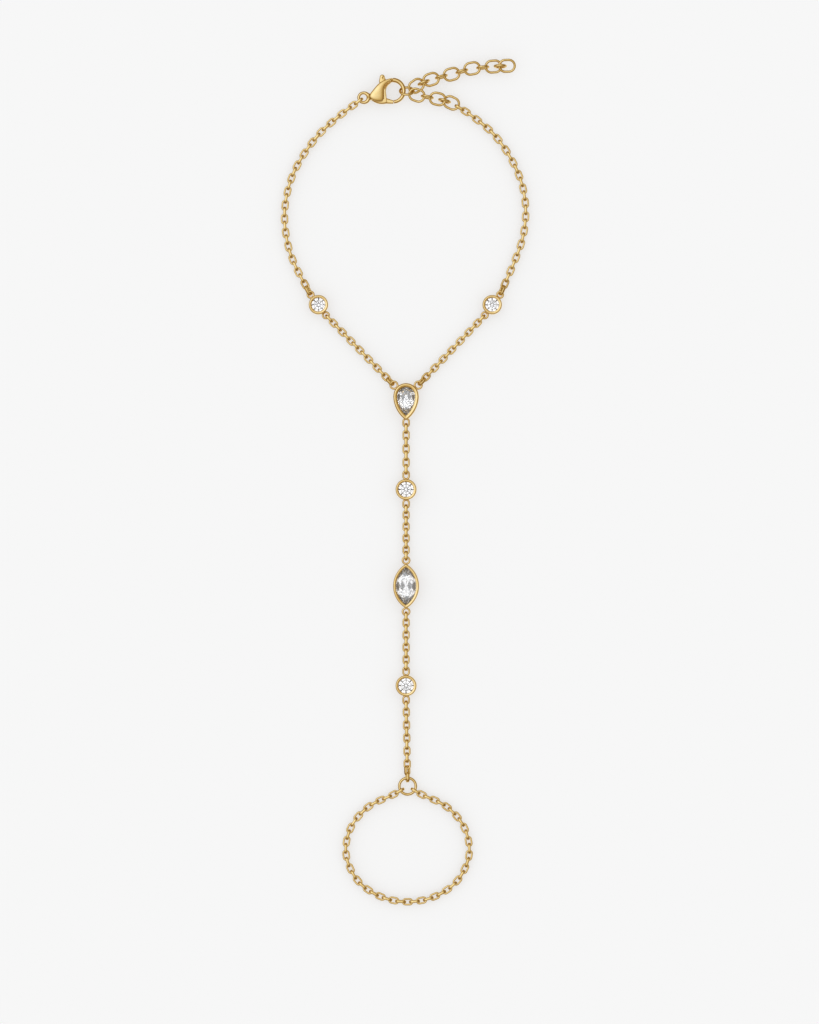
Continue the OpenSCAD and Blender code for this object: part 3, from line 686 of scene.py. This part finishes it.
def base(p):
    """The flat body under the dome, which shows below it and beside the hole."""
    x, y = p[..., 0], p[..., 1]
    under = np.hypot(x - BASE_UNDER[0], y - BASE_UNDER[1]) - BASE_UNDER_R
    edge = blend_max(back_edge(p) + BASE_INSET, under, BASE_CORNER)
    edge = blend_max(edge, LEFT_END - x + BASE_INSET, BASE_CORNER)
    edge = blend_max(edge, x - BASE_END, BASE_END_CORNER)
    thinner = BASE_THINNING * np.clip((y - THIN_FROM) / THIN_OVER, 0, 1)
    d = blend_max(edge, np.abs(p[..., 2]) - BASE_HALF_T + thinner, BASE_EDGE)
    d = blend_max(d, HOLE_R - hole_distance(p), HOLE_EDGE)
    beside = x - HOLE_SIDE + HOLE_SIDE_LEAN * y
    return blend_max(d, np.where(y < HOLE_POS[1], beside, -1.0), HOLE_EDGE)


def lever_place(p, angle):
    """Distance from the pivot along a direction, and across it."""
    return turned(p[..., :2] - np.array(PIVOT), math.radians(angle))


def bar(p, angle, start, end, half, half_t):
    """A flat bar in the clasp's plane, from the pivot outwards."""
    u, v = lever_place(p, angle)
    d = rounded_box(u, v, ((start + end) / 2, 0), ((end - start) / 2, half), BAR_CORNER)
    return blend_max(d, np.abs(p[..., 2]) - half_t, BAR_EDGE)


def lever_slot(p):
    """The room that the lever's arm, knob and gate sweep through between shut and open."""
    d = None
    for k in range(SLOT_TURNS + 1):
        a = GATE_SWING * k / SLOT_TURNS
        u, v = lever_place(p, ARM_ANGLE + a)
        thumb = blend_max(np.hypot(u - KNOB_AT, v + KNOB_SIDE) - THUMB_HOLLOW_R,
                          np.abs(p[..., 2]) - SLOT_HALF_T, BAR_EDGE)
        for one in (bar(p, ARM_ANGLE + a, SLOT_FROM, SLOT_TO, SLOT_HALF, SLOT_HALF_T), thumb,
                    bar(p, GATE_ANGLE + a, GATE_SLOT_FROM, GATE_SLOT_TO, GATE_SLOT_HALF,
                        GATE_SLOT_HALF_T)):
            d = one if d is None else np.minimum(d, one)
    return d


def claw(p):
    """The claw, thickest at the top, with a fine seam where it starts."""
    x, y = p[..., 0], p[..., 1]
    angle = np.degrees(np.arctan2(y, x))
    a = np.where(angle < CLAW_TURN, angle + 360, angle)
    share = np.clip((a - SWELL_FROM) / SWELL_OVER, 0, 1)
    r = CLAW_WIRE_R + CLAW_SWELL * share ** SWELL_POWER
    r = np.where(a > CLAW_THIN_FROM, r - CLAW_THINNING * (a - CLAW_THIN_FROM), r)
    seam = SEAM_DEPTH * np.exp(-((a - SEAM_ANGLE) / SEAM_WIDTH) ** 2)
    at = np.radians(np.clip(a, CLAW_START, CLAW_END))
    cx, cy = CLAW_R * np.cos(at), (CLAW_R + CLAW_STRETCH) * np.sin(at)
    d = np.sqrt((x - cx) ** 2 + (y - cy) ** 2 + p[..., 2] ** 2) - r + seam
    cut = math.radians(CLAW_START)
    before = x * math.sin(cut) - y * math.cos(cut)
    return blend_max(d, np.where(a < 0, before, -1.0), CLAW_CUT_EDGE)


def edge_band(p):
    """The band that runs down the body's right side, from the claw's start round the hole."""
    route = [(HOLE_POS[0] + BAND_R * math.cos(math.radians(t)), BAND_R * math.sin(math.radians(t)))
             for t in BAND_ARC] + BAND_FOOT
    d = None
    for a, b in zip(route, route[1:]):
        along = np.array(b) - a
        x, y = p[..., 0] - a[0], p[..., 1] - a[1]
        t = np.clip((x * along[0] + y * along[1]) / (along @ along), 0, 1)
        one = np.hypot(x - t * along[0], y - t * along[1])
        d = one if d is None else np.minimum(d, one)
    half_t = BASE_HALF_T - BAND_FALL * np.clip(p[..., 1] - BAND_FALL_FROM, 0, BAND_FALL_OVER)
    return (np.hypot(d / BAND_HALF, p[..., 2] / half_t) - 1) * BAND_EDGE


def body_field(p, table):
    """The clasp without its lever: body, claw and tail ring."""
    d = blend_min(base(p), dome(p, table), FINE_JOIN)
    d = blend_min(d, edge_band(p), FINE_JOIN)
    d = blend_max(d, -lever_slot(p), SLOT_EDGE)
    d = blend_min(d, claw(p), CLAW_JOIN)
    from_tail = np.hypot(p[..., 0] - TAIL[0], p[..., 1] - TAIL[1]) - TAIL_R
    tail_r = TAIL_WIRE / 2 + TAIL_SWELL * np.clip(p[..., 0] - TAIL[0], 0, 1)
    return blend_min(d, np.hypot(from_tail, p[..., 2]) - tail_r, TAIL_JOIN)


def lever_field(p):
    """The lever: an arm up to the thumb knob, a hub on the pin, and the gate."""
    z = np.abs(p[..., 2])
    arm = bar(p, ARM_ANGLE, 0, ARM_L, ARM_HALF, ARM_HALF_T)
    from_pivot = np.hypot(p[..., 0] - PIVOT[0], p[..., 1] - PIVOT[1])
    hub = blend_max(from_pivot - HUB_R, z - ARM_HALF_T, HUB_EDGE)
    u, v = lever_place(p, ARM_ANGLE)
    t = np.clip((u - KNOB_AT) / KNOB_L, 0, 1)
    from_spine = np.hypot(u - KNOB_AT - KNOB_L * t, v + KNOB_SIDE - KNOB_LEAN * t)
    dent = DENT_DEPTH * np.exp(-((u - DENT_AT[0]) ** 2 + (v - DENT_AT[1]) ** 2) / DENT_SPREAD)
    knob = ((from_spine / (KNOB_R - KNOB_TAPER * t)) ** SQUARENESS
            + ((z + dent) / KNOB_HALF_T) ** SQUARENESS)
    knob = (knob ** (1 / SQUARENESS) - 1) * KNOB_HALF_T
    g, w = lever_place(p, GATE_ANGLE)
    half = np.clip(GATE_WIDE - GATE_TAPER * g / GATE_L, GATE_LEAST, GATE_MOST)
    across = np.abs((w + GATE_SIDE) / half * GATE_HALF_T)
    gate = np.maximum(-g, 0) ** SQUARENESS + across ** SQUARENESS + z ** SQUARENESS
    gate = gate ** (1 / SQUARENESS) - GATE_HALF_T
    gate = blend_max(gate, g - GATE_L - GATE_PAST, GATE_EDGE)
    d = blend_min(blend_min(arm, hub, HUB_EDGE), knob, KNOB_JOIN)
    d = blend_min(d, gate, GATE_JOIN)
    return blend_max(d, PIN_BORE_R - from_pivot, BORE_EDGE)


def clasp(material):
    table = swelling()
    points, faces = skin(lambda p: body_field(p, table), CLASP_LOW, CLASP_HIGH, CLASP_STEP)
    metal_piece("clasp_shell", points + CLASP_POS, faces, material, "clasp_body")
    points, faces = skin(lever_field, LEVER_LOW, LEVER_HIGH, CLASP_STEP)
    metal_piece("thumb_lever", points + CLASP_POS, faces, material, "clasp_lever", "clasp_lever")
    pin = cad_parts["clasp_pin"].data
    pin.materials.clear()
    pin.materials.append(material)


# ---------------------------------------------------------------------------------------------
# Materials
# ---------------------------------------------------------------------------------------------
def wire_up(tree, kind, inputs=None, **settings):
    """A node with its settings and with each input set to a value or joined to a socket."""
    node = tree.nodes.new(kind)
    for key, value in settings.items():
        setattr(node, key, value)
    for key, value in (inputs or {}).items():
        if isinstance(value, bpy.types.NodeSocket):
            tree.links.new(value, node.inputs[key])
        else:
            node.inputs[key].default_value = value
    return node


def new_group(name, ins, outs):
    """A node group with named inputs and outputs, and its two end nodes."""
    tree = bpy.data.node_groups.new(name, "ShaderNodeTree")
    for label, kind, value in ins:
        socket = tree.interface.new_socket(label, in_out="INPUT", socket_type=kind)
        if value is not None:
            socket.default_value = value
    for label, kind in outs:
        tree.interface.new_socket(label, in_out="OUTPUT", socket_type=kind)
    return tree, tree.nodes.new("NodeGroupInput"), tree.nodes.new("NodeGroupOutput")


def object_mm(tree):
    """The piece's own coordinates, in millimetres."""
    place = wire_up(tree, "ShaderNodeTexCoord")
    return wire_up(tree, "ShaderNodeVectorMath", {0: place.outputs["Object"], 3: 1 / MM},
                   operation="SCALE").outputs[0]


def polish_group():
    """Polished metal seen close: broad smudges and fine rubbing marks in millimetre sizes."""
    tree, start, end = new_group(
        "polish marks",
        [("Smooth", "NodeSocketFloat", 0.12), ("Worn", "NodeSocketFloat", 0.24),
         ("Smudges per mm", "NodeSocketFloat", 0.6), ("Marks per mm", "NodeSocketFloat", 9.0)],
        [("Roughness", "NodeSocketFloat"), ("Height", "NodeSocketFloat")])
    in_mm = object_mm(tree)
    smudge = wire_up(tree, "ShaderNodeTexNoise",
                     {"Vector": in_mm, "Scale": start.outputs["Smudges per mm"],
                      "Detail": 3.0})
    marks = wire_up(tree, "ShaderNodeTexNoise",
                    {"Vector": in_mm, "Scale": start.outputs["Marks per mm"],
                     "Detail": 4.0, "Roughness": 0.7})
    mixed = wire_up(tree, "ShaderNodeMath", {0: smudge.outputs[0], 1: marks.outputs[0]},
                    operation="MULTIPLY")
    rough = wire_up(tree, "ShaderNodeMapRange",
                    {"Value": mixed.outputs[0], "From Min": 0.15, "From Max": 0.4,
                     "To Min": start.outputs["Smooth"], "To Max": start.outputs["Worn"]})
    tree.links.new(rough.outputs[0], end.inputs["Roughness"])
    tree.links.new(marks.outputs[0], end.inputs["Height"])
    return tree


def tone_group():
    """Two tones of one finish in soft patches."""
    tree, start, end = new_group(
        "tone patches",
        [("Light", "NodeSocketColor", (1, 1, 1, 1)), ("Deep", "NodeSocketColor", (0.5, 0.5, 0.5, 1)),
         ("Patches per mm", "NodeSocketFloat", 0.8)],
        [("Color", "NodeSocketColor")])
    in_mm = object_mm(tree)
    noise = wire_up(tree, "ShaderNodeTexNoise",
                    {"Vector": in_mm, "Scale": start.outputs["Patches per mm"],
                     "Detail": 4.0})
    share = wire_up(tree, "ShaderNodeMapRange",
                    {"Value": noise.outputs[0], "From Min": 0.35, "From Max": 0.65})
    mix = wire_up(tree, "ShaderNodeMix",
                  {"Factor": share.outputs[0], "A": start.outputs["Light"],
                   "B": start.outputs["Deep"]}, data_type="RGBA")
    tree.links.new(mix.outputs["Result"], end.inputs["Color"])
    return tree


GROUPS = {"polish": polish_group(), "tone": tone_group()}


def use_group(tree, name, inputs):
    return wire_up(tree, "ShaderNodeGroup", inputs, node_tree=GROUPS[name])


def new_material(name):
    material = bpy.data.materials.new(name)
    material.use_nodes = True
    tree = material.node_tree
    return material, tree, tree.nodes["Principled BSDF"]


def gold(name, light, deep, smooth, worn, marks):
    """Gold-coloured metal in two close tones, between a smooth and a worn roughness."""
    material, tree, shader = new_material(name)
    tone = use_group(tree, "tone", {"Light": light, "Deep": deep, "Patches per mm": 0.7})
    polish = use_group(tree, "polish", {"Smooth": smooth, "Worn": worn, "Smudges per mm": 0.5,
                                        "Marks per mm": marks})
    bump = wire_up(tree, "ShaderNodeBump",
                   {"Height": polish.outputs["Height"], "Strength": 0.25, "Distance": 0.004 * MM})
    tree.links.new(tone.outputs["Color"], shader.inputs["Base Color"])
    tree.links.new(polish.outputs["Roughness"], shader.inputs["Roughness"])
    tree.links.new(bump.outputs["Normal"], shader.inputs["Normal"])
    shader.inputs["Metallic"].default_value = 1.0
    return material


def chain_gold():
    return gold("chain gold", (0.83, 0.64, 0.3, 1), (0.77, 0.565, 0.23, 1), 0.14, 0.26, 14.0)


def polished_gold():
    return gold("polished gold", (0.83, 0.64, 0.31, 1), (0.78, 0.565, 0.24, 1), 0.07, 0.16, 8.0)


def cut_stone(name, clearness):
    """A clear stone, each facet painted at random between a cool and a plain white: a painted
    reflection that stands in for the facets' glints.
    """
    material, tree, shader = new_material(name)
    tone = wire_up(tree, "ShaderNodeAttribute", attribute_name="facet_painted_glint")
    painted_glint_tint = wire_up(tree, "ShaderNodeMix",
                   {"Factor": tone.outputs["Fac"], "A": (0.96, 0.97, 1.0, 1), "B": (1, 1, 1, 1)},
                   data_type="RGBA")
    tree.links.new(painted_glint_tint.outputs["Result"], shader.inputs["Base Color"])
    shader.inputs["Transmission Weight"].default_value = clearness
    shader.inputs["Roughness"].default_value = 0.0
    shader.inputs["IOR"].default_value = 2.2
    return material


def pale_floor():
    material, _, shader = new_material("pale floor")
    shader.inputs["Base Color"].default_value = FLOOR_TONE
    shader.inputs["Emission Color"].default_value = FLOOR_GLOW
    shader.inputs["Emission Strength"].default_value = 1.0
    shader.inputs["Roughness"].default_value = 1.0
    shader.inputs["Specular IOR Level"].default_value = 0.0
    return material


# ---------------------------------------------------------------------------------------------
# Stage, light and camera
# ---------------------------------------------------------------------------------------------
def floor():
    """A plain disc that the metal doesn't mirror."""
    bm = bmesh.new()
    bmesh.ops.create_circle(bm, cap_ends=True, segments=96, radius=FLOOR_R)
    mesh = bpy.data.meshes.new("floor")
    bm.to_mesh(mesh)
    bm.free()
    mesh.materials.append(pale_floor())
    disc = bpy.data.objects.new("floor", mesh)
    disc.location.z = -FLOOR_DROP
    disc.visible_glossy = False
    bpy.context.scene.collection.objects.link(disc)


def level_ramp(tree, value, stops):
    """Colour by a value from 0 to 1, through the given stops."""
    ramp = wire_up(tree, "ShaderNodeValToRGB", {"Fac": value})
    elements = ramp.color_ramp.elements
    elements[0].position, elements[1].position = stops[0][0], stops[-1][0]
    for where, _ in stops[1:-1]:
        elements.new(where)
    for element, (_, level) in zip(elements, stops):
        element.color = (*level, 1)
    return ramp.outputs["Color"]


def studio_light():
    """Even white for the floor, a soft light from the upper left with dark sides for the metal,
    and light from all round with the dark round of a lens above for the stones."""
    world = bpy.data.worlds.new("studio")
    bpy.context.scene.world = world
    world.use_nodes = True
    tree = world.node_tree
    place = wire_up(tree, "ShaderNodeTexCoord")

    def towards(direction):
        d = np.array(direction) / np.linalg.norm(direction)
        dot = wire_up(tree, "ShaderNodeVectorMath", {0: place.outputs["Generated"], 1: tuple(d)},
                      operation="DOT_PRODUCT")
        return wire_up(tree, "ShaderNodeMapRange", {"Value": dot.outputs["Value"],
                                                    "From Min": -1.0}).outputs[0]

    metal = level_ramp(tree, towards(METAL_LIGHT_FROM), METAL_LIGHT)
    stones = level_ramp(tree, towards(STONE_LIGHT_FROM), STONE_LIGHT)
    path = wire_up(tree, "ShaderNodeLightPath")
    shiny = wire_up(tree, "ShaderNodeMix",
                    {"Factor": path.outputs["Is Glossy Ray"], "A": (1, 1, 1, 1), "B": metal},
                    data_type="RGBA")
    seen = wire_up(tree, "ShaderNodeMix",
                   {"Factor": path.outputs["Is Transmission Ray"],
                    "A": shiny.outputs["Result"], "B": stones}, data_type="RGBA")
    tree.links.new(seen.outputs["Result"], tree.nodes["Background"].inputs["Color"])


def camera():
    """Straight above the photo's middle, from as far as its scale asks."""
    data = bpy.data.cameras.new("camera")
    data.sensor_width = SENSOR_MM
    data.lens = LENS_MM
    data.clip_end = 20
    obj = bpy.data.objects.new("camera", data)
    bpy.context.scene.collection.objects.link(obj)
    scale = MM_PER_PIXEL * MM
    obj.location = ((PHOTO_W / 2 - PHOTO_ORIGIN[0]) * scale, (PHOTO_ORIGIN[1] - PHOTO_H / 2) * scale,
                    PHOTO_H * scale * LENS_MM / SENSOR_MM)
    bpy.context.scene.camera = obj
    bpy.context.scene.view_settings.view_transform = "Standard"


def main():
    rng = np.random.default_rng(7)
    chain, polished = chain_gold(), polished_gold()
    round_cut = cut_stone("clear round stone", 0.97)
    shaped_cut = cut_stone("clear shaped stone", 0.84)
    for node in CHAINS:
        fine_chain(node, chain, rng)
    for node in EXTENDERS:
        extender(node, chain)
    junction_ring(chain)
    settings(polished)
    stones(round_cut, shaped_cut)
    clasp(polished)
    floor()
    studio_light()
    camera()


main()
